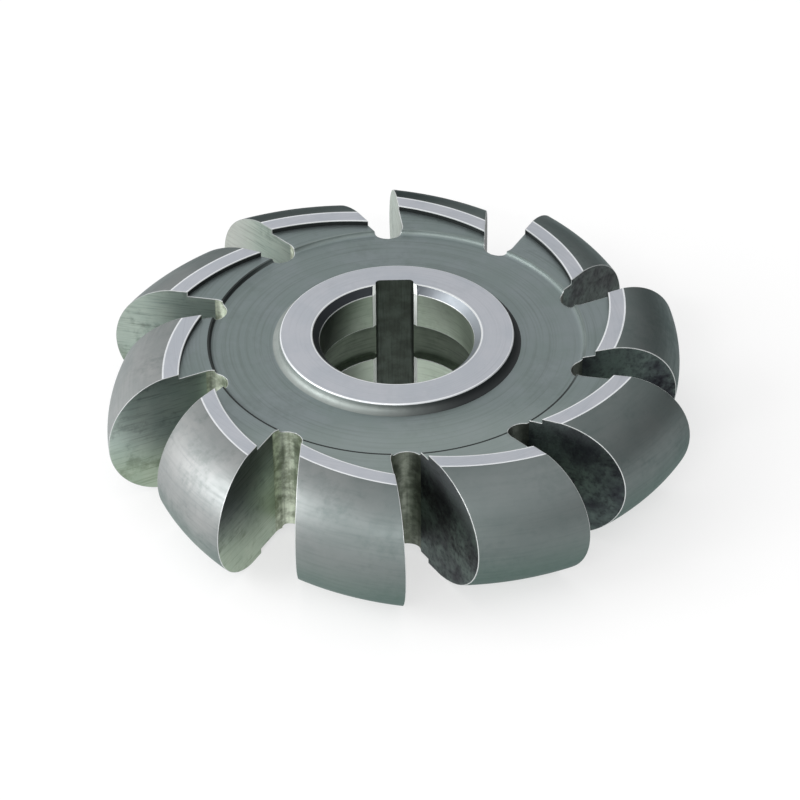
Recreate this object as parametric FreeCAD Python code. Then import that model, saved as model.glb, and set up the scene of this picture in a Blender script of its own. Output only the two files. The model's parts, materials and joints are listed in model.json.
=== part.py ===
import FreeCAD, Part
import math
import os

# A form-relieved milling cutter with a convex, half-round cutting profile, made from one piece of
# tool steel. All sizes are in millimetres and all angles in degrees.
# The bore axis is Z and the origin is at its middle. The keyway and the cutting tip of the first
# tooth are on +Y. Seen from above, each tooth cuts with its counter-clockwise end and its back
# falls away from there at a constant rate, so that grinding the cutting face keeps the profile.

# Overall
cutter_diameter = 125.0
profile_radius = 14.0
width_over_lands = 27.8
tooth_count = 10

# Teeth: the relief is how far the back would fall over one whole pitch
relief_per_pitch = 7.2
rake_angle = 6.0
side_land_width = 3.5
side_land_height = 1.1

# Gullets between the teeth
gullet_depth = 25.5
gullet_angle = 25.0
gullet_radius = 3.2

# Recessed web and raised hub, the same on both sides
web_recess_diameter = 77.6
web_recess_depth = 0.9
hub_diameter = 48.4
hub_foot_bevel = 1.2
hub_edge_break = 0.3

# Bore with a relieved middle between two ground bands
bore_diameter = 32.0
bore_chamfer = 1.5
bore_relief_diameter = 35.0
bore_relief_width = 8.5

# Keyway: its height is measured across the bore, from the opposite wall to the keyway's floor
keyway_width = 8.0
keyway_height = 34.8
keyway_corner_radius = 1.0
keyway_edge_break = 0.7

# How many even arcs each half round is drawn in
profile_arcs = 10

# How far a cutting tool body runs past the surface that it cuts
overrun = 2.0

# Sizes that follow from those above
pitch = 360.0 / tooth_count
tip_radius = cutter_diameter / 2
half_width = width_over_lands / 2
side_level = half_width - side_land_height
web_level = side_level - web_recess_depth
web_radius = web_recess_diameter / 2
hub_radius = hub_diameter / 2
bore_radius = bore_diameter / 2

UP = FreeCAD.Vector(0, 0, 1)
CENTRE = FreeCAD.Vector(0, 0, 0)
FIRST_TIP_ANGLE = 90.0


def plan(x, y, z=0.0):
    """Return a point given by its place in plan and its height."""
    return FreeCAD.Vector(x, y, z)


def heading(angle):
    """Return the unit vector at an angle in plan."""
    return plan(math.cos(math.radians(angle)), math.sin(math.radians(angle)))


def line(start, end):
    """Return a straight edge."""
    return Part.makeLine(start, end)


def arc(start, middle, end):
    """Return a circular edge through three points."""
    return Part.Arc(start, middle, end).toShape()


def corner_arc(start, centre, end):
    """Return the quarter round between two points at the same distance from its centre."""
    outward = (start - centre) + (end - centre)
    middle = centre + outward.normalize() * (start - centre).Length
    return arc(start, middle, end)


def turned(edges):
    """Return the solid that a closed outline of radius and height makes when it turns about Z."""
    return Part.Face(Part.Wire(edges)).revolve(CENTRE, UP, 360)


def section_point(radius, height):
    """Return a point of a turned outline."""
    return FreeCAD.Vector(radius, 0, height)


def chain(points):
    """Return the straight edges that join the points in order."""
    return [line(start, end) for start, end in zip(points, points[1:])]


def through_prism(edges):
    """Return the prism over a closed plan outline that runs past both sides of the cutter."""
    reach = half_width + overrun
    face = Part.Face(Part.Wire(edges))
    face.translate(UP * -reach)
    return face.extrude(UP * (2 * reach))


def around(shape, step):
    """Return a copy of a shape of the first tooth, turned to its place in the pattern."""
    copy = shape.copy()
    copy.rotate(CENTRE, UP, FIRST_TIP_ANGLE + step * pitch)
    return copy


# The teeth are drawn with the cutting tip on +X and turned to their places afterwards.


def relief_axis():
    """Return where the back of a tooth is turned about, beside the bore axis.

    Turning about this axis makes the radius fall by an even amount over the length of the tooth.
    """
    fall_per_radian = relief_per_pitch / math.radians(pitch)
    tooth_middle = -pitch / 3
    return heading(tooth_middle + 90) * fall_per_radian


def half_round(profile_centre, profile_depth, arc_end):
    """Return the arcs of the half round, from its upper end over the crown to its lower end."""
    curve = Part.Ellipse(
        section_point(profile_centre, profile_radius),
        section_point(profile_centre + profile_depth, 0),
        section_point(profile_centre, 0),
    )
    first = math.acos(arc_end / profile_radius)
    step = (math.pi - 2 * first) / profile_arcs
    starts = [first + count * step for count in range(profile_arcs)]
    return [curve.toShape(start, start + step) for start in starts]


def tooth_ring():
    """Return the eccentric ring with the half-round profile and a ground land on each side.

    The section lies in the plane through the relief axis and the cutting tip. Its half-round is
    narrowed so that it comes out as a true half circle on the raked cutting face. It ends at the
    lands, and where the cutter is wider than a whole half circle, a straight shoulder joins them.
    """
    axis = relief_axis()
    to_tip = plan(tip_radius, 0) - axis
    lean = math.atan2(-to_tip.y, to_tip.x)
    profile_depth = profile_radius * math.cos(lean + math.radians(rake_angle))
    profile_centre = to_tip.Length - profile_depth
    arc_end = min(half_width, profile_radius)
    land_outer = profile_centre + profile_depth * math.sqrt(1 - (arc_end / profile_radius) ** 2)
    land_inner = land_outer - side_land_width
    root = (plan(web_radius, 0) - axis).Length

    upper_corner = section_point(land_outer, half_width)
    lower_corner = section_point(land_outer, -half_width)
    edges = half_round(profile_centre, profile_depth, arc_end)
    if half_width > profile_radius:
        edges.insert(0, line(upper_corner, section_point(land_outer, profile_radius)))
        edges.append(line(section_point(land_outer, -profile_radius), lower_corner))
    edges += chain([
        lower_corner,
        section_point(land_inner, -half_width),
        section_point(land_inner, -side_level),
        section_point(root, -side_level),
        section_point(root, side_level),
        section_point(land_inner, side_level),
        section_point(land_inner, half_width),
        upper_corner,
    ])
    ring = turned(edges)
    ring.translate(axis)
    return ring


def tooth_blank():
    """Return the length of the ring that one tooth is cut from, one pitch long."""
    lead = 1.0
    far = cutter_diameter
    sector = through_prism(chain([
        CENTRE,
        heading(lead) * far,
        heading(lead - pitch) * far,
        CENTRE,
    ]))
    return tooth_ring().common(sector)


def gullet():
    """Return the space in front of a tooth: its cutting face, a round bottom and a heel.

    The cutting face passes through the tip and leans back by the rake. The heel of the tooth in
    front leans away from it by the gullet angle, and the bottom arc touches both.
    """
    tip = plan(tip_radius, 0)
    along_face = heading(rake_angle)
    along_heel = heading(rake_angle + gullet_angle)
    off_face = heading(rake_angle + 90)
    off_heel = heading(rake_angle + gullet_angle - 90)

    start = tip + off_face * gullet_radius
    centre_distance = tip_radius - gullet_depth + gullet_radius
    towards = start.dot(along_face)
    back = towards - math.sqrt(towards ** 2 - start.dot(start) + centre_distance ** 2)
    centre = start - along_face * back

    face_end = centre - off_face * gullet_radius
    heel_end = centre - off_heel * gullet_radius
    bottom = centre - (off_face + off_heel).normalize() * gullet_radius
    reach = 2 * gullet_depth
    face_far = face_end + along_face * reach
    heel_far = heel_end + along_heel * reach
    outline = [arc(face_end, bottom, heel_end)]
    outline += chain([heel_end, heel_far, face_far, face_end])
    return through_prism(outline)


def blank_disc():
    """Return the disc that the teeth stand on, with the hub's blank proud of it on both sides."""
    disc = Part.makeCylinder(web_radius + gullet_radius, 2 * side_level, UP * -side_level)
    hub = Part.makeCylinder(hub_radius + hub_foot_bevel, 2 * half_width, UP * -half_width)
    return disc.fuse(hub)


def web_recess():
    """Return the ring turned out of the upper side between the hub and the teeth.

    It breaks the edge of the hub, and its floor ends in a bevel at the foot of the hub and in
    another at the foot of the teeth.
    """
    top = half_width + overrun
    hub_edge = hub_radius - hub_edge_break
    return turned(chain([
        section_point(hub_edge, top),
        section_point(hub_edge, half_width),
        section_point(hub_radius, half_width - hub_edge_break),
        section_point(hub_radius, web_level + hub_foot_bevel),
        section_point(hub_radius + hub_foot_bevel, web_level),
        section_point(web_radius - web_recess_depth, web_level),
        section_point(web_radius, side_level),
        section_point(web_radius, top),
        section_point(hub_edge, top),
    ]))


def bore():
    """Return the stepped bore: chamfered mouths, two ground bands and the relieved middle."""
    mouth = bore_radius + bore_chamfer + overrun
    end = half_width + overrun
    band_end = half_width - bore_chamfer
    relief_radius = bore_relief_diameter / 2
    relief_end = bore_relief_width / 2
    return turned(chain([
        section_point(0, -end),
        section_point(mouth, -end),
        section_point(bore_radius, -band_end),
        section_point(bore_radius, -relief_end),
        section_point(relief_radius, -relief_end),
        section_point(relief_radius, relief_end),
        section_point(bore_radius, relief_end),
        section_point(bore_radius, band_end),
        section_point(mouth, end),
        section_point(0, end),
        section_point(0, -end),
    ]))


def keyway():
    """Return the slot for the driving key, on +Y, with rounded corners and broken edges."""
    side = keyway_width / 2
    floor = keyway_height - bore_radius
    round_start = floor - keyway_corner_radius
    inner_side = side - keyway_corner_radius
    mouth_side = side + keyway_edge_break
    mouth = math.sqrt(bore_radius ** 2 - mouth_side ** 2)
    right_corner = corner_arc(
        plan(side, round_start), plan(inner_side, round_start), plan(inner_side, floor)
    )
    left_corner = corner_arc(
        plan(-inner_side, floor), plan(-inner_side, round_start), plan(-side, round_start)
    )
    right_side = chain([
        plan(mouth_side, 0),
        plan(mouth_side, mouth),
        plan(side, mouth + keyway_edge_break),
        plan(side, round_start),
    ])
    left_side = chain([
        plan(-side, round_start),
        plan(-side, mouth + keyway_edge_break),
        plan(-mouth_side, mouth),
        plan(-mouth_side, 0),
        plan(mouth_side, 0),
    ])
    floor_edge = [line(plan(inner_side, floor), plan(-inner_side, floor))]
    return through_prism(right_side + [right_corner] + floor_edge + [left_corner] + left_side)


def cutter():
    """Return the whole cutter as one solid."""
    tooth = tooth_blank()
    teeth = [around(tooth, step) for step in range(tooth_count)]
    space = gullet()
    gullets = [around(space, step) for step in range(tooth_count)]
    upper_recess = web_recess()
    lower_recess = upper_recess.mirror(CENTRE, UP)
    body = blank_disc().fuse(teeth)
    body = body.cut([upper_recess, lower_recess, bore(), keyway()] + gullets)
    return body.removeSplitter()


def main():
    """Build the cutter and write it."""
    os.makedirs("parts", exist_ok=True)
    shape = cutter()
    if len(shape.Solids) == 1:
        shape = shape.Solids[0]
    print("solids", len(shape.Solids), "valid", shape.isValid(), "volume", round(shape.Volume, 1))
    shape.exportStep("parts/cutter_body.step")


if __name__ == "__main__":
    main()
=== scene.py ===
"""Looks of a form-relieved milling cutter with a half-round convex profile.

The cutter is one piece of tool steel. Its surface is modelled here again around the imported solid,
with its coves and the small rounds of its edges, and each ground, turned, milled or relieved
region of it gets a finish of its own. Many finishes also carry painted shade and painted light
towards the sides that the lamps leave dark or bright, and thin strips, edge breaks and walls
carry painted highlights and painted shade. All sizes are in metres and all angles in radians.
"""

import json
import logging
import math
from dataclasses import dataclass
from enum import Enum
from typing import Any, Callable, Iterable

import bmesh
import bpy
from mathutils import Matrix, Vector


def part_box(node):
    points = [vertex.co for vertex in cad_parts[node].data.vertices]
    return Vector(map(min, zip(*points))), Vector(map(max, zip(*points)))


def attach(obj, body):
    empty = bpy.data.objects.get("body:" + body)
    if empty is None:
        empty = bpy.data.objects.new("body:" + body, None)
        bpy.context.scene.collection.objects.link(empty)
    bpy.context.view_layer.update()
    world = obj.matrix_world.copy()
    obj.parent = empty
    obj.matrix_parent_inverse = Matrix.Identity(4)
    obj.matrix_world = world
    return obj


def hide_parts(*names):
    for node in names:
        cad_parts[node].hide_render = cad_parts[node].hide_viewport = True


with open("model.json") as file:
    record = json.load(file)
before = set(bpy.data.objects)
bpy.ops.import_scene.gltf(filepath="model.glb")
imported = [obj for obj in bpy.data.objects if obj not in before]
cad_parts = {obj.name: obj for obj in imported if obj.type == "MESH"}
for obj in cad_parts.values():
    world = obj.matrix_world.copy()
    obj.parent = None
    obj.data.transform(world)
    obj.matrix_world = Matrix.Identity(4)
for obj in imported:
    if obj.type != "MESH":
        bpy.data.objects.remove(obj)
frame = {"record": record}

CUTTER_NODE = "cutter_body"
ORIGIN = Vector((0.0, 0.0, 0.0))
UP = Vector((0.0, 0.0, 1.0))
WHITE = (1.0, 1.0, 1.0)
FULL_TURN = 2 * math.pi
QUARTER_TURN = math.pi / 2

# How near points are that count as one, that are merged, and that count as on the web's rim
TINY = 1e-6
MERGE = 2 * TINY
RIM_MARGIN = 10 * TINY

# A normal's part along an axis that is within this of 0 or 1 is square to it
NEARLY_SQUARE = 0.1

# Sockets of a Mix node that mixes colours
MIX_SHARE, MIX_FIRST, MIX_SECOND, MIX_RESULT = 0, 6, 7, 2

log = logging.getLogger("milling_cutter")


# Small helpers for plan geometry


def heading(angle: float) -> Vector:
    """Return the unit vector at an angle in plan."""
    return Vector((math.cos(angle), math.sin(angle), 0.0))


def angle_of(point: Vector) -> float:
    """Return the angle of a point in plan."""
    return math.atan2(point.y, point.x)


def at(radius: float, height: float) -> Vector:
    """Return a point of the section, which is drawn over the X axis."""
    return Vector((radius, 0.0, height))


def mix(first: Any, second: Any, share: float) -> Any:
    """Return the value or point that lies a share of the way from the first to the second."""
    return first * (1 - share) + second * share


def line_meets_circle(start: Vector, along: Vector, centre: Vector, radius: float) -> Vector:
    """Find where a straight line leaves a circle in plan.

    Args:
        start: Any point of the line.
        along: Unit direction of the line, pointing out of the circle.
        centre: Centre of the circle.
        radius: Radius of the circle.

    Returns:
        The outer one of the two crossing points.
    """
    offset = start - centre
    towards = offset.dot(along)
    reach = math.sqrt(towards**2 - offset.dot(offset) + radius**2)
    return start + along * (reach - towards)


# Modelling with operators


class Bench:
    """A mesh object on the bench, shaped by operators with what they act on selected in code."""

    def __init__(self, piece: bpy.types.Object) -> None:
        """Take a mesh object to the bench."""
        self.piece = piece
        self.tip = ORIGIN.copy()

    @classmethod
    def fresh(cls, name: str) -> "Bench":
        """Start a new object from a single vertex at the origin.

        Args:
            name: Name of the object and of its mesh.

        Returns:
            The bench, with the new object in edit mode.
        """
        bpy.ops.object.select_all(action="DESELECT")
        bpy.ops.mesh.primitive_plane_add(size=1.0)
        bench = cls(bpy.context.object)
        bench.piece.name = name
        bench.piece.data.name = name
        bench.edit()
        bench.take_all()
        bpy.ops.mesh.merge(type="CENTER")
        return bench

    def edit(self) -> None:
        """Go into edit mode on this object alone."""
        bpy.context.view_layer.objects.active = self.piece
        bpy.ops.object.mode_set(mode="EDIT")
        bpy.ops.mesh.select_mode(type="VERT")

    def take_all(self) -> None:
        """Select the whole mesh."""
        bpy.ops.mesh.select_all(action="SELECT")

    def rest(self) -> None:
        """Go back to object mode."""
        bpy.ops.object.mode_set(mode="OBJECT")

    def close(self) -> None:
        """Turn every normal outwards and go back to object mode."""
        self.take_all()
        bpy.ops.mesh.normals_make_consistent(inside=False)
        self.rest()

    def pick(self, kind: str, wanted: Callable[[Any], bool]) -> None:
        """Select vertices or edges, and what lies between them.

        Args:
            kind: VERT or EDGE.
            wanted: The test that each one has to pass.
        """
        bpy.ops.mesh.select_mode(type=kind)
        bpy.ops.mesh.select_all(action="DESELECT")
        cage = bmesh.from_edit_mesh(self.piece.data)
        for part in cage.verts if kind == "VERT" else cage.edges:
            part.select_set(wanted(part))
        cage.select_flush_mode()
        bmesh.update_edit_mesh(self.piece.data)

    def start_at(self, point: Vector) -> None:
        """Move the first vertex to where a drawn line begins.

        Args:
            point: The first point of the line.
        """
        self.take_all()
        bpy.ops.transform.translate(value=point)
        self.tip = point.copy()

    def extrude(self, way: Any) -> None:
        """Extrude what is selected along a way."""
        bpy.ops.mesh.extrude_region_move(TRANSFORM_OT_translate={"value": way})

    def draw_to(self, point: Vector) -> None:
        """Extrude the end of the drawn line to a point."""
        self.extrude(point - self.tip)
        self.tip = point.copy()

    def draw_along(self, points: Iterable[Vector]) -> None:
        """Extrude the end of the drawn line from point to point."""
        for point in points:
            self.draw_to(point)

    def draw_round(self, centre: Vector, turn: float, steps: int) -> None:
        """Go on with the drawn line in an arc.

        Args:
            centre: Centre of the arc.
            turn: How far the arc turns, counter-clockwise seen with X right and Z up.
            steps: How many straight parts it has.
        """
        arm = self.tip - centre
        for step in range(1, steps + 1):
            self.draw_to(centre + Matrix.Rotation(-turn * step / steps, 3, "Y") @ arm)

    def apply(self, kind: str, **settings: Any) -> None:
        """Add a modifier to the finished form and apply it.

        Args:
            kind: The modifier's type.
            settings: Values for the modifier's own properties.
        """
        modifier = self.piece.modifiers.new(kind.lower(), kind)
        for name, value in settings.items():
            setattr(modifier, name, value)
        bpy.context.view_layer.objects.active = self.piece
        bpy.ops.object.modifier_apply(modifier=modifier.name)


# Shader nodes


class Value:
    """A number that a shader works out, with the usual operators on it."""

    def __init__(self, book: "NodeBook", socket: Any) -> None:
        """Wrap a node's output, with the book that makes the Math nodes on it."""
        self.book = book
        self.socket = socket

    def _math(self, operation: str, *values: Any) -> "Value":
        """Add a Math node on these values and return its result."""
        return self.book.node("ShaderNodeMath", {"operation": operation}, dict(enumerate(values)))

    def __add__(self, other: Any) -> "Value":
        """Return the sum."""
        return self._math("ADD", self, other)

    __radd__ = __add__

    def __sub__(self, other: Any) -> "Value":
        """Return this value less the other."""
        return self._math("SUBTRACT", self, other)

    def __rsub__(self, other: Any) -> "Value":
        """Return the other value less this one."""
        return self._math("SUBTRACT", other, self)

    def __mul__(self, other: Any) -> "Value":
        """Return the product."""
        return self._math("MULTIPLY", self, other)

    __rmul__ = __mul__

    def __truediv__(self, other: Any) -> "Value":
        """Return this value divided by the other."""
        return self._math("DIVIDE", self, other)

    def __rtruediv__(self, other: Any) -> "Value":
        """Return the other value divided by this one."""
        return self._math("DIVIDE", other, self)

    def __pow__(self, other: Any) -> "Value":
        """Return this value to a power."""
        return self._math("POWER", self, other)

    def __rpow__(self, other: Any) -> "Value":
        """Return the other value to the power of this one."""
        return self._math("POWER", other, self)

    def clamped(self) -> "Value":
        """Return this value kept between 0 and 1."""
        return self._math("MINIMUM", self._math("MAXIMUM", self, 0.0), 1.0)

    def ramp(self, low: float, high: float) -> "Value":
        """Return a smooth rise from 0 to 1 as this value goes from low to high."""
        settings = {"interpolation_type": "SMOOTHSTEP"}
        return self.book.node("ShaderNodeMapRange", settings, {0: self, 1: low, 2: high})


class NodeBook:
    """The node tree of a material or of the world."""

    def __init__(self, owner: Any) -> None:
        """Clear the nodes of a material or a world.

        Args:
            owner: The material or the world.
        """
        owner.use_nodes = True
        self.tree = owner.node_tree
        self.tree.nodes.clear()

    def node(self, kind: str, settings: dict, inputs: dict, output: Any = 0) -> Any:
        """Make a node, set it up and wire it.

        Args:
            kind: The node's type.
            settings: Properties of the node, set before its inputs.
            inputs: Values or links, by the input's name or number.
            output: Name or number of the output that is wanted, or None for the node itself.

        Returns:
            The output as a Value, or the node.
        """
        made = self.tree.nodes.new(kind)
        for name, setting in settings.items():
            setattr(made, name, setting)
        for key, value in inputs.items():
            self.feed(made.inputs[key], value)
        return made if output is None else Value(self, made.outputs[output])

    def feed(self, socket: Any, value: Any) -> None:
        """Give an input a link or a plain value.

        Args:
            socket: The input.
            value: The Value to link, or the plain value.
        """
        if isinstance(value, Value):
            self.tree.links.new(value.socket, socket)
        else:
            socket.default_value = value

    def place(self) -> Value:
        """Return the place on the object."""
        return self.node("ShaderNodeTexCoord", {}, {}, "Object")

    def stretched(self, place: Value, scale: tuple) -> Value:
        """Return a place multiplied along each axis."""
        return self.node("ShaderNodeVectorMath", {"operation": "MULTIPLY"}, {0: place, 1: scale})

    def along(self, place: Value, way: tuple) -> Value:
        """Return how far a place lies along a way."""
        settings = {"operation": "DOT_PRODUCT"}
        return self.node("ShaderNodeVectorMath", settings, {0: place, 1: way}, "Value")

    def split(self, place: Value) -> tuple:
        """Return the three numbers of a place."""
        made = self.node("ShaderNodeSeparateXYZ", {}, {0: place}, None)
        return tuple(Value(self, made.outputs[axis]) for axis in "XYZ")

    def joined(self, x: Any, y: Any, z: Any) -> Value:
        """Return the place that three numbers give."""
        return self.node("ShaderNodeCombineXYZ", {}, {0: x, 1: y, 2: z})

    def noise(self, place: Value, scale: float, detail: float = 3.0, rough: float = 0.55) -> Value:
        """Return a cloudy noise from 0 to 1."""
        inputs = {"Vector": place, "Scale": scale, "Detail": detail, "Roughness": rough}
        return self.node("ShaderNodeTexNoise", {}, inputs)

    def blend(self, first: Any, second: Any, share: Any) -> Value:
        """Return the colour that lies a share of the way from the first to the second."""
        inputs = {MIX_SHARE: share, MIX_FIRST: first, MIX_SECOND: second}
        return self.node("ShaderNodeMix", {"data_type": "RGBA"}, inputs, MIX_RESULT)


def srgb(code: int) -> tuple:
    """Turn the colour code of a screen into the linear colour of a shader.

    Args:
        code: Red, green and blue, as in 0xFF8000 for orange.

    Returns:
        The linear red, green and blue, with an alpha of 1.
    """
    shares = [byte / 255 for byte in code.to_bytes(3, "big")]
    return (*(
        share / 12.92 if share <= 0.04045 else ((share + 0.055) / 1.055) ** 2.4 for share in shares
    ), 1.0)


class Grain(Enum):
    """Which way the fine marks of a finish run."""

    ROUND = "in circles about the bore axis"
    UPRIGHT = "along the bore axis"
    LENGTHWISE = "round the profile, across the width"
    CLOUDY = "no way at all"


@dataclass(frozen=True)
class Tint:
    """A darker or lighter tone laid over the steel's colour towards one side of the cutter.
    Most of them are painted shade, which darkens the sides that the lamps leave dark, and some are
    painted light on sides that the lamps leave bright.

    The tone sets in at the start, measured from the origin towards the side, and has its full
    share from the end on.
    """

    colour: int
    share: float
    side: tuple
    start: float
    end: float

    def over(self, book: NodeBook, colour: Value, place: Value) -> Value:
        """Lay the painted tone over a colour."""
        share = book.along(place, self.side).ramp(self.start, self.end) * self.share
        return book.blend(colour, srgb(self.colour), share)


@dataclass(frozen=True)
class Finish:
    """One finish of the steel: its colours, the marks that the tool left and its shine.

    Colours are codes, as srgb takes them. A ramp says between which levels of its noise the second
    colour or the stain sets in, and a draw how far the lines are drawn out along the grain. The
    painted side light lays painted shade and painted light over the colour towards some sides.
    """

    name: str
    base: int
    second: int
    stain: int
    grain: Grain = Grain.CLOUDY
    line_pitch: float = 0.0004
    line_depth: float = 0.000002
    line_share: float = 0.3
    blotch_size: float = 0.008
    blotch_share: float = 0.6
    stain_share: float = 0.2
    mottle_size: float = 0.0016
    mottle_depth: float = 0.00002
    roughness: float = 0.5
    roughness_swing: float = 0.1
    metallic: float = 0.9
    edge_tone: tuple = (1.0, 1.0, 1.0, 1.0)
    # painted shade and painted light laid over the colour by side
    painted_side_light: tuple = ()
    ring_wander: float = 40.0
    upright_draw: float = 0.04
    lengthwise_draw: float = 0.06
    blotch_ramp: tuple = (0.35, 0.65)
    stain_ramp: tuple = (0.5, 0.68)
    line_ramp: tuple = (0.45, 0.75)
    cloud_stretch: tuple = (0.8, 1.1, 1.7)
    cloud_scale: float = 0.6
    cloud_share: float = 0.6
    middle: float = 0.5

    def marks(self, book: NodeBook, place: Value) -> Value:
        """Return the fine lines of the tool, from 0 to 1.

        Args:
            book: The material's node book.
            place: The place on the object.

        Returns:
            A noise that is drawn out along the grain.
        """
        x, y, z = book.split(place)
        fine = 1 / self.line_pitch
        radius = (x * x + y * y) ** 0.5
        if self.grain is Grain.ROUND:
            lines = book.joined(radius * fine, x * self.ring_wander, y * self.ring_wander)
        elif self.grain is Grain.UPRIGHT:
            lines = book.joined(x * fine, y * fine, z * (fine * self.upright_draw))
        elif self.grain is Grain.LENGTHWISE:
            draw = self.lengthwise_draw
            lines = book.joined(x * fine * draw, y * fine * draw, z * fine)
        else:
            lines = book.stretched(place, (fine, fine, fine))
        return book.noise(lines, 1.0, detail=2.0)

    def material(self) -> bpy.types.Material:
        """Build the finish as a material.

        Returns:
            The finished material.
        """
        material = bpy.data.materials.new(self.name)
        book = NodeBook(material)
        place = book.place()
        marks = self.marks(book, place)
        blotches = book.noise(place, 1 / self.blotch_size, detail=4.0, rough=0.6)
        mottle = book.noise(place, 1 / self.mottle_size, detail=3.0, rough=0.6)
        stretched = book.stretched(place, self.cloud_stretch)
        cloud = book.noise(stretched, self.cloud_scale / self.blotch_size, detail=2.0)

        base, second, stain = srgb(self.base), srgb(self.second), srgb(self.stain)
        tone = (blotches.ramp(*self.blotch_ramp) * self.blotch_share).clamped()
        colour = book.blend(base, second, tone)
        stains = cloud * self.cloud_share + mottle * (1 - self.cloud_share)
        colour = book.blend(colour, stain, stains.ramp(*self.stain_ramp) * self.stain_share)
        colour = book.blend(colour, stain, marks.ramp(*self.line_ramp) * self.line_share)
        # Lay on the painted shade and painted light by side
        for painted_tone in self.painted_side_light:
            colour = painted_tone.over(book, colour, place)

        swing = self.roughness_swing
        shine = (mottle - self.middle) * swing + (marks - self.middle) * swing
        height = marks * self.line_depth + mottle * self.mottle_depth
        relief = {"Strength": 1.0, "Distance": 1.0, "Height": height}
        steel = book.node("ShaderNodeBsdfPrincipled", {}, {
            "Base Color": colour,
            "Metallic": self.metallic,
            "Specular Tint": self.edge_tone,
            "Roughness": (shine + self.roughness).clamped(),
            "Normal": book.node("ShaderNodeBump", {}, relief),
        })
        book.node("ShaderNodeOutputMaterial", {}, {"Surface": steel}, None)
        return material


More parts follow.
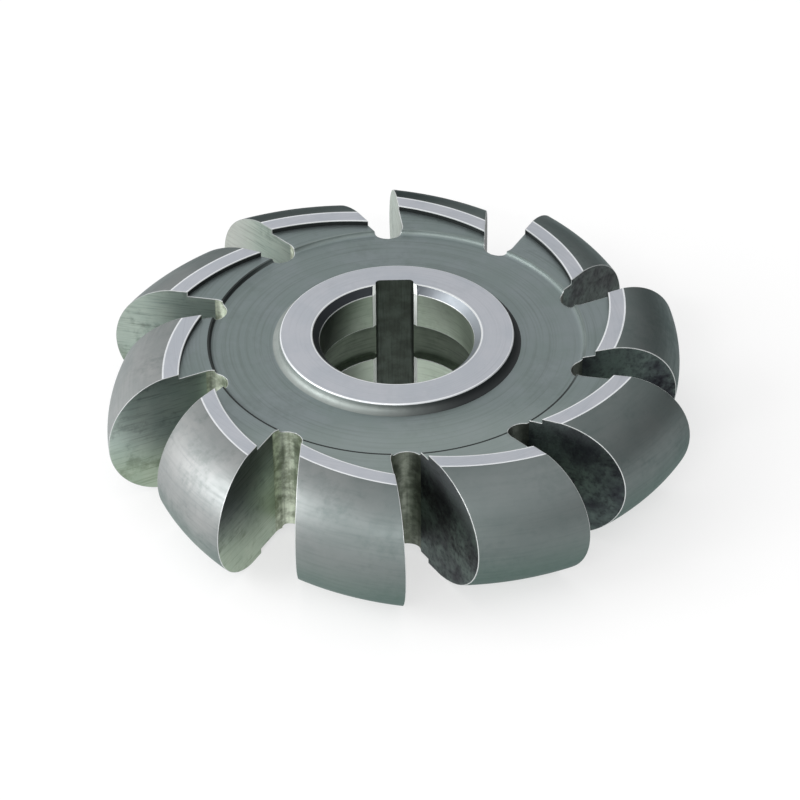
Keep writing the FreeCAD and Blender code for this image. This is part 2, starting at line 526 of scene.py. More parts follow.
class Region(Enum):
    """Regions of the cutter that were made or ground in different ways, each with its finish. Thin
    bright strips and edge breaks carry painted highlights, and dark walls and the web's rim carry
    painted shade.
    """

    @property
    def slot(self) -> int:
        """Return the number of the region's material slot."""
        return list(Region).index(self)

    GROUND = Finish(
        "ground_hub_steel", 0xC4C7CE, 0xB8BEC6, 0xA4AAB0,
        Grain.ROUND, line_pitch=0.0003, line_share=0.25, roughness=0.34, mottle_depth=0.0,
        roughness_swing=0.06,
    )
    TURNED = Finish(
        "turned_web_steel", 0x818D8C, 0x8B9497, 0x626C68,
        Grain.ROUND, line_pitch=0.0005, line_depth=0.000004, roughness=0.45,
        mottle_depth=0.000004,
        # Painted light: the web is lighter towards the front.
        painted_side_light=(Tint(0xA2ADA9, 0.4, (0.1, -1, 0), 0.022, 0.035),),
    )
    RELIEVED = Finish(
        "relieved_back_steel", 0xC0BFBF, 0xAAADAD, 0x64726E,
        Grain.LENGTHWISE, line_pitch=0.0006, line_share=0.15, stain_share=0.3, roughness=0.47,
        roughness_swing=0.2, mottle_depth=0.00001, edge_tone=(0.5, 0.56, 0.56, 1.0),
        # Painted shade: the backs darken towards the right, the rear, the rear left and a little
        # towards the front, and go teal towards the bottom; the lighter grey on the tops of the
        # front right teeth is painted light.
        painted_side_light=(
            Tint(0x445553, 0.76, (0.95, 0.31, 0), -0.095, 0),
            Tint(0x1C2122, 0.85, (0, 1, 0), 0.042, 0.054),
            Tint(0x283030, 0.25, (1, 0.2, 0), 0.047, 0.062),
            Tint(0x323837, 0.75, (-0.45, 0.89, 0), 0.042, 0.054),
            Tint(0x5C6866, 0.35, (0, -1, 0), 0.044, 0.06),
            Tint(0x929999, 0.3, (0.2, -0.5, 1), 0.037, 0.041),
            Tint(0x628475, 0.3, (0, 0, -1), -0.004, 0.008),
        ),
    )
    FACE = Finish(
        "ground_face_steel", 0xC0CEC6, 0xAABCB6, 0x465454,
        Grain.LENGTHWISE, line_depth=0.000004, line_share=0.4, roughness=0.4,
        stain_share=0.5, blotch_size=0.006, mottle_depth=0.00001,
        # Painted shade: the cutting faces go near black towards their top and darker towards the
        # rear; painted light: they are lighter towards the rear left. They go olive towards the
        # bottom.
        painted_side_light=(
            Tint(0x12181E, 0.75, (0.12, -0.3, 1), 0.006, 0.018),
            Tint(0x7A8A5C, 0.45, (0, -0.1, -1), -0.002, 0.01),
            Tint(0x646E5A, 0.4, (-0.3, 0.95, 0), 0.014, 0.042),
            Tint(0xD6D0CE, 0.35, (-0.59, 0.81, 0), 0.048, 0.06),
        ),
    )
    HEEL = Finish(
        "milled_heel_steel", 0x606E6A, 0x363A3F, 0x1A1A21,
        line_pitch=0.0009, line_depth=0.00001, line_share=0.45, blotch_share=1.0,
        stain_share=0.95, roughness=0.48, roughness_swing=0.3, mottle_depth=0.00005,
        # Painted shade: the heels go near black towards the rear right. They are lighter grey
        # towards the top.
        painted_side_light=(
            Tint(0x121614, 0.55, (0.6, 0.8, 0), 0.03, 0.044),
            Tint(0xA0A5AA, 0.6, (0, -0.3, 1), 0.019, 0.027),
        ),
    )
    GULLET = Finish(
        "milled_gullet_steel", 0xE2EBD8, 0x909985, 0x4C5146,
        Grain.UPRIGHT, line_pitch=0.0007, line_depth=0.00003, line_share=0.35,
        blotch_size=0.0022, blotch_share=0.9, stain_share=0.35, mottle_size=0.0012,
        mottle_depth=0.00005,
        # Painted shade: the gullets go near black towards the right.
        painted_side_light=(Tint(0x323835, 0.92, (0.9, -0.3, 0), -0.006, 0.022),),
    )
    BAND = Finish(
        "ground_bore_steel", 0xC8D5C6, 0xB6C5B4, 0x6E7C6C,
        Grain.LENGTHWISE, line_share=0.25, roughness=0.34, mottle_depth=0.0,
        # Painted shade: the bore band goes near black on the left of the bore.
        painted_side_light=(Tint(0x1A1E1E, 0.92, (-1, 0.15, 0), 0.003, 0.0155),),
    )
    BORE_RELIEF = Finish(
        "relieved_bore_steel", 0x687266, 0x545E54, 0x323832,
        Grain.LENGTHWISE, line_depth=0.00001, roughness=0.45,
    )
    KEYWAY = Finish(
        "broached_keyway_steel", 0x565F58, 0x464C46, 0x2C322E,
        Grain.UPRIGHT, line_depth=0.00001, line_share=0.4, blotch_size=0.003, blotch_share=0.9,
    )
    # Worn edges, in a light colour that partly paints their highlight; painted shade darkens them
    # towards the rear.
    EDGE = Finish(
        "worn_edge_highlight_steel", 0xD7DADA, 0xC8CCCC, 0xAAAEAC,
        line_share=0.1, line_depth=0.0, roughness=0.35, mottle_depth=0.0, metallic=0.6,
        painted_side_light=(
            Tint(0x545E5D, 0.8, (0.7, 0.7, 0), 0.03, 0.055),
            Tint(0x7A827E, 0.7, (-0.6, 0.8, 0), 0.035, 0.055),
        ),
    )
    CHAMFER = Finish(
        "turned_chamfer_steel", 0x969CA2, 0x8A9096, 0x6E7478,
        Grain.ROUND, line_share=0.2, mottle_depth=0.0,
        # Painted shade: the bore chamfer goes near black towards the rear left.
        painted_side_light=(Tint(0x202428, 0.9, (-1, 0.8, 0), -0.006, 0.014),),
    )
    # Painted shade: the step up to each land, coloured near black as a wall in shade.
    WALL = Finish(
        "painted_shade_wall_steel", 0x222626, 0x1E2121, 0x161919,
        Grain.ROUND, metallic=0.5,
    )
    # Painted shade: the web's rim cove and a thin strip beside it go near black towards the front
    # left, where the rim wall shades the web.
    RIM = Finish(
        "turned_rim_painted_shade_steel", 0x848F8D, 0x788280, 0x606A66,
        Grain.ROUND, metallic=0.6,
        painted_side_light=(Tint(0x1E2323, 0.95, (-0.55, -0.83, 0), -0.022, 0),),
    )
    HUB_FOOT = Finish(
        "turned_hub_foot_steel", 0x9CA3A0, 0x8C9491, 0x646C69,
        Grain.ROUND, line_share=0.2, metallic=0.6,
        # Painted shadow: the light grey hub foot goes near black on the right, where the hub shades
        # the web.
        painted_side_light=(Tint(0x1A1E21, 0.95, (1, 0.1, 0), -0.018, 0.012),),
    )
    # Painted highlight: the broken edges of the keyway's mouth, near white.
    KEYWAY_EDGE = Finish(
        "keyway_edge_painted_highlight_steel", 0xF2F6F3, 0xE2E8E4, 0xBEC6C0,
        Grain.UPRIGHT, line_share=0.1, line_depth=0.0, roughness=0.4, mottle_depth=0.0,
        metallic=0.1,
    )
    # Painted highlight: thin strips along the lands' edges, around the bore's mouth and on the
    # hub's round, near white.
    GROUND_EDGE = Finish(
        "painted_highlight_edge_steel", 0xE8EBEE, 0xDCDFE2, 0xBEC2C4,
        line_share=0.1, line_depth=0.0, roughness=0.35, mottle_depth=0.0, metallic=0.5,
    )


@dataclass
class MillingCutter:
    """The whole cutter: a body with hub, web and bore, and its relieved half-round teeth.

    The cutter repeats itself in as many sectors as it has teeth. A blank sector is drawn as a
    section and spun by one pitch, and then pressed between the two gullets that bound its tooth.
    """

    tip_radius: float
    half_width: float
    bore_radius: float
    tooth_count: int = 10
    first_tip_angle: float = QUARTER_TURN
    rake: float = math.radians(6)
    gullet_angle: float = math.radians(25)
    gullet_depth: float = 0.0255
    gullet_radius: float = 0.0032
    relief_per_pitch: float = 0.0072
    profile_radius: float = 0.014
    land_width: float = 0.0035
    land_height: float = 0.0011
    land_highlight: float = 0.00035
    wall_lean: float = 0.75
    web_depth: float = 0.0009
    web_radius: float = 0.0388
    rim_shade_line: float = 0.0004
    hub_radius: float = 0.0242
    hub_round: float = 0.0003
    hub_highlight: float = 0.0003
    hub_cove: float = 0.0015
    bore_chamfer: float = 0.0015
    bore_relief_radius: float = 0.0175
    bore_relief_half: float = 0.00425
    keyway_half: float = 0.004
    keyway_floor: float = 0.0188
    keyway_corner: float = 0.001
    keyway_break: float = 0.0007
    tool_overrun: float = 0.00007
    edge_round: float = 0.00012
    sharp_angle: float = math.radians(40)
    smooth_angle: float = math.radians(35)
    columns: int = 24
    profile_steps: int = 32
    gullet_steps: int = 6
    cove_steps: int = 5
    hub_round_steps: int = 3
    hub_foot_steps: int = 7
    keyway_corner_steps: int = 6
    edge_steps: int = 2

    @classmethod
    def from_frame(cls) -> "MillingCutter":
        """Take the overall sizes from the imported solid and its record.

        Returns:
            The cutter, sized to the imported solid.
        """
        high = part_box(CUTTER_NODE)[1]
        mounts = {mount["name"]: mount for mount in frame["record"]["mounts"]}
        bore_radius = mounts["bore"]["dims"]["r_mm"] / 1000
        return cls(tip_radius=high.y, half_width=high.z, bore_radius=bore_radius)

    def __post_init__(self) -> None:
        """Work out where the relief axis, the gullet and the levels of the section are."""
        self.pitch = FULL_TURN / self.tooth_count
        self.side_level = self.half_width - self.land_height
        self.web_level = self.side_level - self.web_depth
        self.chamfer_end = self.bore_radius + self.bore_chamfer
        self.mouth_side = self.keyway_half + self.keyway_break
        self.mouth = math.sqrt(self.bore_radius**2 - self.mouth_side**2)
        self.tip = Vector((self.tip_radius, 0.0, 0.0))

        # About this axis the back falls most evenly at its middle, a third of a pitch from the tip
        self.relief_axis = heading(QUARTER_TURN - self.pitch / 3)
        self.relief_axis *= self.relief_per_pitch / self.pitch

        self.face_way = heading(self.rake)
        self.heel_way = heading(self.rake + self.gullet_angle)
        off_face = heading(self.rake + QUARTER_TURN)
        off_heel = heading(self.rake + self.gullet_angle - QUARTER_TURN)
        start = self.tip + off_face * self.gullet_radius
        self.gullet_bottom = self.tip_radius - self.gullet_depth
        reach = self.gullet_bottom + self.gullet_radius
        self.gullet_centre = line_meets_circle(start, self.face_way, ORIGIN, reach)
        self.face_end = (self.gullet_centre - off_face * self.gullet_radius).length
        self.heel_foot = self.gullet_centre - off_heel * self.gullet_radius
        self.heel_end = self.heel_foot.length
        self.middle = angle_of(self.gullet_centre)

        to_tip = self.tip - self.relief_axis
        self.narrow = math.cos(self.rake - angle_of(to_tip))
        self.profile_centre = to_tip.length - self.profile_radius * self.narrow
        self.profile_start = math.asin(self.half_width / self.profile_radius)
        land_reach = self.profile_radius * math.cos(self.profile_start) * self.narrow
        self.land_outer = self.profile_centre + land_reach
        self.land_inner = self.land_outer - self.land_width

        # Outer radius and region of each ring of the blank, from the bore outwards
        self.rings = (
            (self.bore_radius + TINY, Region.BAND),
            (self.chamfer_end, Region.CHAMFER),
            # Painted highlight strips beside the bore's chamfer and at both edges of each land
            (self.chamfer_end + self.hub_highlight, Region.GROUND_EDGE),
            (self.hub_radius - self.hub_round, Region.GROUND),
            (self.hub_radius + self.hub_cove, Region.HUB_FOOT),
            (self.land_inner + TINY, Region.TURNED),
            (self.land_inner + self.land_highlight, Region.GROUND_EDGE),
            (self.land_outer - self.land_highlight, Region.GROUND),
            (self.land_outer, Region.GROUND_EDGE),
            (math.inf, Region.RELIEVED),
        )

    # Where the gullets bound the sector

    def bound(self, radius: float, end: float, foot: Vector, way: Vector, side: int) -> float:
        """Find where the side of a gullet bounds the body.

        Args:
            radius: Radius about the bore.
            end: Radius where the gullet's bottom arc passes into its flat side.
            foot: A point of the flat side.
            way: Unit direction of the flat side, outwards.
            side: 1 or -1 for the side of the gullet's middle.

        Returns:
            The angle about the bore.
        """
        if radius <= self.gullet_bottom + TINY:
            return self.middle
        if radius > end:
            return angle_of(line_meets_circle(foot, way, ORIGIN, radius))
        reach = self.gullet_centre.length
        cosine = (reach**2 + radius**2 - self.gullet_radius**2) / (2 * reach * radius)
        return self.middle + side * math.acos(max(-1.0, min(1.0, cosine)))

    def on_body(self, radius: float, share: float) -> Vector:
        """Return a plan point of the body.

        Args:
            radius: Radius about the bore.
            share: 0 at the gullet behind the tooth and 1 at the one in front.

        Returns:
            The point.
        """
        front = self.bound(radius, self.face_end, self.tip, self.face_way, -1)
        back = self.bound(radius, self.heel_end, self.heel_foot, self.heel_way, 1) - self.pitch
        return heading(mix(back, front, share)) * radius

    def on_tooth(self, drawn: float, share: float) -> Vector:
        """Return a plan point of the tooth, at a radius about its relief axis.

        Args:
            drawn: Radius about the relief axis.
            share: 0 at the heel and 1 at the cutting face.

        Returns:
            The point, in the plan of the tooth whose tip lies on +X.
        """
        axis = self.relief_axis
        face = line_meets_circle(self.tip, self.face_way, axis, drawn)
        back = Matrix.Rotation(-self.pitch, 3, "Z")
        foot = back @ self.heel_foot
        heel = line_meets_circle(foot, back @ self.heel_way, axis, drawn)
        turn = mix(angle_of(heel - axis), angle_of(face - axis), share)
        return axis + heading(turn) * drawn

    def pressed(self, blank: Vector) -> Vector:
        """Return where a point of the blank sector ends up between the gullets.

        Args:
            blank: A point of the sector as it was spun, from angle 0 back by one pitch.

        Returns:
            The point in the cutter's first sector.
        """
        drawn = math.hypot(blank.x, blank.y)
        share = 1 + angle_of(blank) / self.pitch
        if drawn <= self.face_end + TINY:
            plan = self.on_body(drawn, share)
        elif drawn >= self.land_inner - TINY:
            plan = self.on_tooth(drawn, share)
        else:
            way = (drawn - self.face_end) / (self.land_inner - self.face_end)
            foot = self.on_body(self.face_end, share)
            plan = mix(foot, self.on_tooth(self.land_inner, share), way)
        placed = Matrix.Rotation(self.first_tip_angle, 3, "Z") @ plan
        return Vector((placed.x, placed.y, blank.z))

    # The section

    def gullet_radii(self, low: float, high: float, steps: int) -> list[float]:
        """Divide a stretch of the gullet's bottom arc evenly.

        Args:
            low: Radius about the bore where the stretch starts.
            high: Radius where it ends.
            steps: How many parts it is divided into.

        Returns:
            The radii after the first, up to and with the last.
        """
        reach = self.gullet_centre.length
        squares = reach**2 + self.gullet_radius**2
        product = 2 * reach * self.gullet_radius
        first, last = (
            math.acos(max(-1.0, min(1.0, (squares - radius**2) / product)))
            for radius in (low, high)
        )
        turns = (mix(first, last, count / steps) for count in range(1, steps + 1))
        return [math.sqrt(squares - product * math.cos(turn)) for turn in turns]

    def draw_hub(self, bench: Bench) -> None:
        """Draw half of the bore, its chamfer, the hub and the cove at its foot.

        Args:
            bench: The bench with its single first vertex.
        """
        bench.start_at(at(self.bore_relief_radius, 0.0))
        bench.draw_along([
            at(self.bore_relief_radius, self.bore_relief_half),
            at(self.bore_radius, self.bore_relief_half),
            at(self.bore_radius, self.half_width - self.bore_chamfer),
            at(self.chamfer_end, self.half_width),
            # A thin strip of the hub face beside the chamfer, for a painted highlight
            at(self.chamfer_end + self.hub_highlight, self.half_width),
            at(self.hub_radius - self.hub_round, self.half_width),
        ])
        round_centre = at(bench.tip.x, bench.tip.z - self.hub_round)
        bench.draw_round(round_centre, -QUARTER_TURN, self.hub_round_steps)
        foot = at(self.hub_radius, self.web_level + self.hub_cove)
        bench.draw_to(foot)
        cove_centre = foot + Vector((self.hub_cove, 0, 0))
        bench.draw_round(cove_centre, QUARTER_TURN, self.hub_foot_steps)

    def draw_web(self, bench: Bench) -> None:
        """Draw the recessed web, the cove at its rim and the side of the tooth.

        Args:
            bench: The bench with the drawn line.
        """
        web_start = self.web_radius - self.web_depth
        shade_line_end = self.web_radius + self.rim_shade_line
        bench.draw_to(at(self.gullet_bottom, self.web_level))
        for radius in self.gullet_radii(self.gullet_bottom, web_start, self.gullet_steps):
            bench.draw_to(at(radius, self.web_level))
        cove_centre = at(web_start, self.side_level)
        bench.draw_round(cove_centre, QUARTER_TURN, self.cove_steps)
        # A thin flat strip past the cove carries the rim's painted shade line.
        bench.draw_to(at(shade_line_end, self.side_level))
        for radius in self.gullet_radii(shade_line_end, self.face_end, self.gullet_steps):
            bench.draw_to(at(radius, self.side_level))

    def draw_tooth(self, bench: Bench) -> None:
        """Draw the step up to the land, the land and the round up to the crown.

        Args:
            bench: The bench with the drawn line.
        """
        inner, outer, rim = self.land_inner, self.land_outer, self.land_highlight
        bench.draw_to(at(inner, self.side_level))
        # The land is drawn with thin strips at both edges for painted highlights.
        for radius in (inner, inner + rim, outer - rim, outer):
            bench.draw_to(at(radius, self.half_width))
        for step in range(1, self.profile_steps + 1):
            turn = mix(self.profile_start, 0.0, step / self.profile_steps)
            reach = self.profile_radius * math.cos(turn) * self.narrow
            height = self.profile_radius * math.sin(turn)
            bench.draw_to(at(self.profile_centre + reach, height))

    # The sector

    def region_at(self, centre: Vector, normal: Vector) -> Region:
        """Return the region that a face of the blank sector belongs to.

        Args:
            centre: Middle of the face.
            normal: Its normal.

        Returns:
            The region.
        """
        drawn = math.hypot(centre.x, centre.y)
        turn = angle_of(centre)
        height = abs(centre.z)
        if abs(turn) < TINY:
            return Region.GULLET if drawn < self.face_end else Region.FACE
        if abs(turn + self.pitch) < TINY:
            return Region.GULLET if drawn < self.heel_end else Region.HEEL
        region = next(region for outer, region in self.rings if drawn < outer)
        if region is Region.CHAMFER and height < self.half_width / 2:
            return Region.BORE_RELIEF
        # The hub's round takes the painted highlight.
        if region is Region.HUB_FOOT and height > self.half_width - self.hub_round:
            return Region.GROUND_EDGE
        # Steep faces of the web's rim cove and the thin strip beside it take the rim's painted
        # shade, and the steep step up to each land takes the walls' painted shade.
        if region is Region.TURNED:
            in_web = drawn < self.web_radius + self.rim_shade_line
            on_shade_line = self.web_radius < drawn and in_web
            if on_shade_line or abs(normal.z) < self.wall_lean:
                return Region.RIM if in_web else Region.WALL
        return region

    def blank_sector(self) -> Bench:
        """Spin the section by one pitch and close the sides that face the gullets.

        Returns:
            The bench with the closed upper and lower halves of one blank sector.
        """
        bench = Bench.fresh("cutter_steel")
        self.draw_hub(bench)
        self.draw_web(bench)
        self.draw_tooth(bench)
        bench.take_all()
        bpy.ops.mesh.spin(
            steps=self.columns, angle=-self.pitch, center=ORIGIN, axis=UP, use_auto_merge=False,
        )
        for side in (0.0, self.pitch):
            bench.pick("VERT", lambda vertex: self.on_wall(vertex.co, side))
            bpy.ops.mesh.extrude_region_move()
            bpy.ops.transform.resize(value=(1.0, 1.0, 0.0), center_override=ORIGIN)

        # The spin ran ahead of the section. With no window, this turns it back to behind it.
        bench.take_all()
        bpy.ops.transform.rotate(value=self.pitch, orient_axis="Z", center_override=ORIGIN)
        bpy.ops.mesh.remove_doubles(threshold=TINY)
        bench.rest()
        log.info("blank sector: %d vertices", len(bench.piece.data.vertices))
        bench.apply("MIRROR", use_axis=(False, False, True), merge_threshold=TINY)
        return bench

    def on_wall(self, point: Vector, side: float) -> bool:
        """Return whether a vertex lies on the bottom arc of the gullet at a side's angle."""
        level = self.gullet_bottom - TINY < math.hypot(point.x, point.y) < self.face_end + TINY
        return level and abs(angle_of(point) - side) < TINY

    def on_open_side(self, edge: Any, side: float) -> bool:
        """Return whether an edge bounds the tooth where it is still open.

        Args:
            edge: The edge.
            side: Angle of the side.

        Returns:
            True for an edge of the open cutting face or heel.
        """
        return edge.is_boundary and all(
            end.co.xy.length > self.face_end - TINY and abs(angle_of(end.co) - side) < TINY
            for end in edge.verts
        )

    def close_sides(self, bench: Bench) -> None:
        """Fill the cutting face and the heel of the tooth with one flat face each.

        Args:
            bench: The bench with the blank sector.
        """
        bench.edit()
        for side in (0.0, -self.pitch):
            bench.pick("EDGE", lambda edge: self.on_open_side(edge, side))
            bpy.ops.mesh.edge_face_add()
        bench.close()

    def paint(self, piece: bpy.types.Object) -> None:
        """Give each face the slot of its region."""
        for face in piece.data.polygons:
            face.material_index = self.region_at(face.center, face.normal).slot

    def press(self, piece: bpy.types.Object) -> None:
        """Press the blank sector between its two gullets."""
        for vertex in piece.data.vertices:
            vertex.co = self.pressed(vertex.co)

    def repeat(self, bench: Bench) -> None:
        """Copy the sector once for each tooth and join the copies into one closed surface.

        Args:
            bench: The bench with the pressed sector.
        """
        bench.edit()
        bench.take_all()
        rest = self.tooth_count - 1
        bpy.ops.mesh.spin(
            steps=rest, angle=rest * self.pitch, dupli=True, center=ORIGIN, axis=UP,
        )
        bench.take_all()
        bpy.ops.mesh.remove_doubles(threshold=MERGE)
        bench.close()

    def keyway_tool(self) -> bpy.types.Object:
        """Model the block that cuts the keyway: rounded at its floor and wider at its mouth.

        Returns:
            The block as an object of its own.
        """
        side_start = self.mouth + self.keyway_break
        depth = self.keyway_floor - side_start
        bpy.ops.object.select_all(action="DESELECT")
        bpy.ops.mesh.primitive_cube_add(
            size=1.0,
            location=(0.0, side_start + depth / 2, 0.0),
            scale=(2 * self.keyway_half, depth, 4 * self.half_width),
        )
        bpy.ops.object.transform_apply()
        bench = Bench(bpy.context.object)
        bench.edit()
        bench.pick("VERT", lambda vertex: vertex.co.y < side_start + TINY)
        bench.extrude((0.0, -self.keyway_break, 0.0))
        widen = self.mouth_side / self.keyway_half
        bpy.ops.transform.resize(value=(widen, 1.0, 1.0), center_override=ORIGIN)
        bench.extrude((0.0, -self.bore_radius / 2, 0.0))
        bench.pick("EDGE", self.on_floor_side)
        bpy.ops.mesh.bevel(
            offset=self.keyway_corner, segments=self.keyway_corner_steps, affect="EDGES",
        )
        bench.close()
        return bench.piece

    def on_floor_side(self, edge: Any) -> bool:
        """Return whether an edge runs along a side of the keyway's floor.

        Args:
            edge: The edge.

        Returns:
            True for the two long edges of the floor.
        """
        first, second = (vertex.co for vertex in edge.verts)
        level = all(abs(end.y - self.keyway_floor) < TINY for end in (first, second))
        return level and abs(first.x - second.x) < TINY

    def cut_keyway(self, bench: Bench) -> None:
        """Cut the keyway through the bore wall.

        Args:
            bench: The bench with the whole cutter.
        """
        for block in (self.keyway_tool(), self.corner_tool()):
            for material in bench.piece.data.materials:
                block.data.materials.append(material)
            for face in block.data.polygons:
                # Sloping faces at the mouth take the painted highlight of the broken edges; the
                # rest is keyway steel.
                sloping = NEARLY_SQUARE < abs(face.normal.x) < 1 - NEARLY_SQUARE
                at_mouth = face.center.y < self.keyway_floor - self.keyway_corner
                region = Region.KEYWAY_EDGE if sloping and at_mouth else Region.KEYWAY
                face.material_index = region.slot
            bench.apply("BOOLEAN", operation="DIFFERENCE", solver="EXACT", object=block)
            bpy.data.objects.remove(block)
        bench.edit()
        bench.take_all()
        bpy.ops.mesh.dissolve_degenerate(threshold=MERGE)
        bench.rest()

    def corner_tool(self) -> bpy.types.Object:
        """Model the block that breaks the keyway's corners along both chamfers of the bore.

        Returns:
            The block as an object of its own.
        """
        side, past = self.mouth_side, self.tool_overrun
        level = self.half_width - self.bore_chamfer - past
        deep = self.keyway_break + past
        half = [(side, -self.bore_chamfer), (side, 0.0), (side - deep, deep)]
        outline = half + [(-x, y) for x, y in reversed(half)]
        corners = [Vector((x, self.mouth - past + y, level)) for x, y in outline]
        bench = Bench.fresh("corner_tool")
        bench.start_at(corners[0])
        bench.draw_along(corners[1:])
        bench.take_all()
        bpy.ops.mesh.edge_face_add()
        rise = 2 * self.bore_chamfer
        bench.extrude((0.0, rise, rise))
        bench.close()
        bench.apply("MIRROR", use_axis=(False, False, True), use_mirror_merge=False)
        return bench.piece

    def at_keyway(self, point: Vector) -> bool:
        """Return whether a point lies on the keyway or beside its mouth."""
        in_width = point.y > 0 and abs(point.x) < self.mouth_side + TINY
        return in_width and point.xy.length < self.hub_radius

    def is_sharp(self, edge: Any) -> bool:
        """Return whether an edge of the teeth, the gullets or the bore is still sharp.

        Args:
            edge: The edge.

        Returns:
            True for an outer edge that the real cutter has with a small round.
        """
        if len(edge.link_faces) != 2 or not edge.is_convex:
            return False
        near, far = sorted(vertex.co.xy.length for vertex in edge.verts)
        on_rim = self.web_radius - near < RIM_MARGIN and far - self.web_radius < RIM_MARGIN
        placed = near > self.gullet_bottom - TINY or far < self.hub_radius - self.bore_chamfer
        at_key = any(self.at_keyway(vertex.co) for vertex in edge.verts)
        if on_rim or at_key or not placed:
            return False
        return edge.calc_face_angle(0.0) > self.sharp_angle

    def round_edges(self, bench: Bench) -> None:
        """Round the sharp edges of the teeth, the lands, the gullets and the bore a little.

        Args:
            bench: The bench with the whole cutter.
        """
        bench.edit()
        bench.pick("EDGE", self.is_sharp)
        bpy.ops.mesh.bevel(
            offset=self.edge_round, segments=self.edge_steps, affect="EDGES",
            clamp_overlap=False, material=Region.EDGE.slot, loop_slide=True,
        )
        bench.rest()
        log.info("edges rounded: %d faces", len(bench.piece.data.polygons))

    def keep_inside(self, piece: bpy.types.Object) -> None:
        """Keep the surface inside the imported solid's box, which flat facets make a hair smaller.

        Args:
            piece: The whole cutter.
        """
        low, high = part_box(CUTTER_NODE)
        for vertex in piece.data.vertices:
            for axis in range(3):
                vertex.co[axis] = min(max(vertex.co[axis], low[axis]), high[axis])

    def build(self) -> bpy.types.Object:
        """Build the cutter as one closed mesh with its finishes.

        Returns:
            The finished piece.
        """
        bench = self.blank_sector()
        self.close_sides(bench)
        self.paint(bench.piece)
        self.press(bench.piece)
        for region in Region:
            bench.piece.data.materials.append(region.value.material())
        self.repeat(bench)
        self.cut_keyway(bench)
        self.round_edges(bench)
        self.keep_inside(bench.piece)
        bpy.ops.object.select_all(action="DESELECT")
        bench.piece.select_set(True)
        bpy.context.view_layer.objects.active = bench.piece
        bpy.ops.object.shade_smooth_by_angle(angle=self.smooth_angle)
        bench.apply("WEIGHTED_NORMAL", keep_sharp=True, weight=80)
        return bench.piece


@dataclass(frozen=True)
class Lamp:
    """A soft lamp that points at the cutter, with its power in watts."""

    name: str
    place: tuple
    width: float
    height: float
    power: float
    colour: tuple = WHITE

    def hang(self) -> None:
        """Hang the lamp in the room."""
        data = bpy.data.lights.new(self.name, "AREA")
        data.shape = "RECTANGLE"
        data.size, data.size_y = self.width, self.height
        data.energy = self.power
        data.color = self.colour
        lamp = bpy.data.objects.new(self.name, data)
        lamp.location = self.place
        lamp.rotation_euler = Vector(self.place).to_track_quat("Z", "Y").to_euler()
        bpy.context.scene.collection.objects.link(lamp)


LAMPS = (
    Lamp("key_lamp", (-1.13, -0.2, 0.62), width=0.9, height=0.9, power=10.0),
    Lamp("front_lamp", (-0.25, -1.2, 0.12), width=1.2, height=0.2, power=1.5,
         colour=(0.99, 1.0, 0.98)),
    Lamp("high_front_lamp", (-0.36, -0.97, 0.78), width=0.45, height=0.05, power=2.2),
)


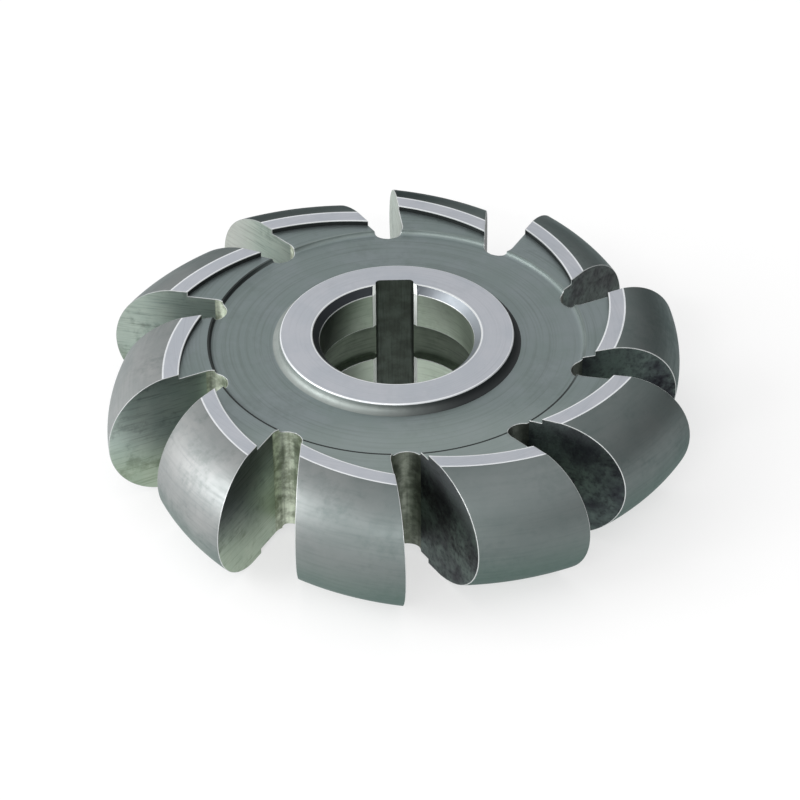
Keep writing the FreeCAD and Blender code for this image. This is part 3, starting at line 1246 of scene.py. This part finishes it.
@dataclass
class Studio:
    """A pale floor, soft lights and the camera at the photograph's viewpoint."""

    floor_level: float
    floor_size: float = 6.0
    floor_gap: float = 0.00002
    floor_colour: tuple = srgb(0xFAFAFA)
    floor_roughness: float = 0.9
    azimuth: float = math.radians(-1.423)
    elevation: float = math.radians(37.512)
    roll: float = math.radians(-0.385)
    distance: float = 0.6952
    aim_right: float = 0.00058
    aim_up: float = -0.00286
    lens: float = 149.67
    sensor: float = 36.0
    nearest: float = 0.01
    floor_glow: float = 0.62
    bright_side: tuple = (-0.7, -0.3, 0.65)
    bright_ramp: tuple = (-0.7, 0.5)
    bright_level: float = 0.95
    dim_level: float = 0.15

    def camera(self) -> None:
        """Place the camera where the photograph was taken from."""
        data = bpy.data.cameras.new("photo_camera")
        data.lens = self.lens
        data.sensor_width = self.sensor
        data.clip_start = self.nearest
        camera = bpy.data.objects.new("photo_camera", data)
        bpy.context.scene.collection.objects.link(camera)
        turn = Matrix.Rotation(self.azimuth, 3, "Z")
        tilt = Matrix.Rotation(QUARTER_TURN - self.elevation, 3, "X")
        spin = Matrix.Rotation(self.roll, 3, "Z")
        view = turn @ tilt @ spin
        back = view @ Vector((self.aim_right, self.aim_up, self.distance))
        camera.matrix_world = Matrix.Translation(back) @ view.to_4x4()
        bpy.context.scene.camera = camera

    def floor(self) -> None:
        """Lay a pale floor under the cutter, which also glows a little where it is seen."""
        under = (0.0, 0.0, self.floor_level - self.floor_gap)
        bpy.ops.mesh.primitive_plane_add(size=self.floor_size, location=under)
        floor = bpy.context.object
        floor.name = "studio_floor"
        bpy.ops.object.transform_apply()
        material = bpy.data.materials.new("studio_floor_paint")
        book = NodeBook(material)
        paper = book.node("ShaderNodeBsdfPrincipled", {}, {
            "Base Color": self.floor_colour,
            "Roughness": self.floor_roughness,
        })
        path = book.node("ShaderNodeLightPath", {}, {}, None)
        rays = (path.outputs[f"Is {kind} Ray"] for kind in ("Camera", "Glossy", "Transmission"))
        camera, glossy, transmission = (Value(book, ray) for ray in rays)
        seen = camera + glossy + transmission
        glow = book.node("ShaderNodeEmission", {}, {"Color": (*WHITE, 1.0)})
        mixed = {0: seen * self.floor_glow, 1: paper, 2: glow}
        shown = book.node("ShaderNodeMixShader", {}, mixed)
        book.node("ShaderNodeOutputMaterial", {}, {"Surface": shown}, None)
        floor.data.materials.append(material)

    def world(self) -> None:
        """Light the room from all around, more from the upper left than from the right."""
        world = bpy.data.worlds.new("studio_world")
        book = NodeBook(world)
        way = book.node("ShaderNodeTexCoord", {}, {}, "Generated")
        facing = book.along(way, self.bright_side).ramp(*self.bright_ramp)
        level = facing * (self.bright_level - self.dim_level) + self.dim_level
        inputs = {"Color": (*WHITE, 1.0), "Strength": level}
        light = book.node("ShaderNodeBackground", {}, inputs)
        book.node("ShaderNodeOutputWorld", {}, {"Surface": light}, None)
        bpy.context.scene.world = world

    def build(self) -> None:
        """Set up floor, lights, world and camera."""
        self.floor()
        self.world()
        for lamp in LAMPS:
            lamp.hang()
        self.camera()
        bpy.context.scene.view_settings.view_transform = "Standard"


def main() -> None:
    """Build the cutter and the studio in order."""
    logging.basicConfig(level=logging.INFO, format="%(name)s: %(message)s")
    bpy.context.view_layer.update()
    piece = MillingCutter.from_frame().build()
    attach(piece, "root")
    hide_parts(CUTTER_NODE)
    log.info("cutter: %d faces", len(piece.data.polygons))

    Studio(floor_level=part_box(CUTTER_NODE)[0].z).build()
    log.info("studio ready")


if __name__ == "__main__":
    main()
